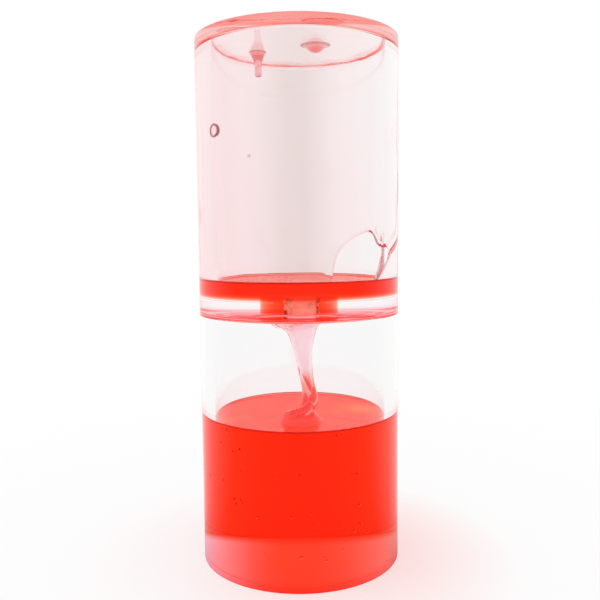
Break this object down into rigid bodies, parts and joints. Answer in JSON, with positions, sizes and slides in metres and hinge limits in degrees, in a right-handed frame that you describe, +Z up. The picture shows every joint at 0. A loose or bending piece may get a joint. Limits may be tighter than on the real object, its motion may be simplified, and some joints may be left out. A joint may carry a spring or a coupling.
{
  "type": "liquid motion timer",
  "caption": "Clear cylinder with two chambers, in which thick red gel runs down through a hole in the middle disc and piles up below.",
  "frame": {"origin": "middle of the bottom face, on the axis of the tubes", "axes": "+Z up along the tubes' axis, from the chamber that is filling to the one that is emptying; -Y towards the viewer, +X to the viewer's right"},
  "size_m": [0.06, 0.06, 0.155],
  "materials": {
    "clear_acrylic": "polished, clear",
    "clear_cement": "clear, a thin line in the joint",
    "red_gel": "wet, see-through red",
    "red_gel_film": "wet, pale where it is thin"
  },
  "bodies": {
    "root": {"bottom_disc": "clear_acrylic", "bottom_seam": "clear_cement", "lower_tube": "clear_acrylic", "divider_lower_seam": "clear_cement", "divider_disc": "clear_acrylic", "divider_upper_seam": "clear_cement", "upper_tube": "clear_acrylic", "top_seam": "clear_cement", "top_disc": "clear_acrylic", "lower_gel": "red_gel", "gel_pile": "red_gel", "gel_strand": "red_gel", "orifice_gel": "red_gel", "upper_gel": "red_gel", "wall_film": "red_gel_film", "wall_run": "red_gel", "wall_droplets": "red_gel", "ceiling_gel": "red_gel_film", "divider_gel": "red_gel_film", "ceiling_drop_long": "red_gel", "ceiling_drop_round": "red_gel"}
  },
  "joints": []
}
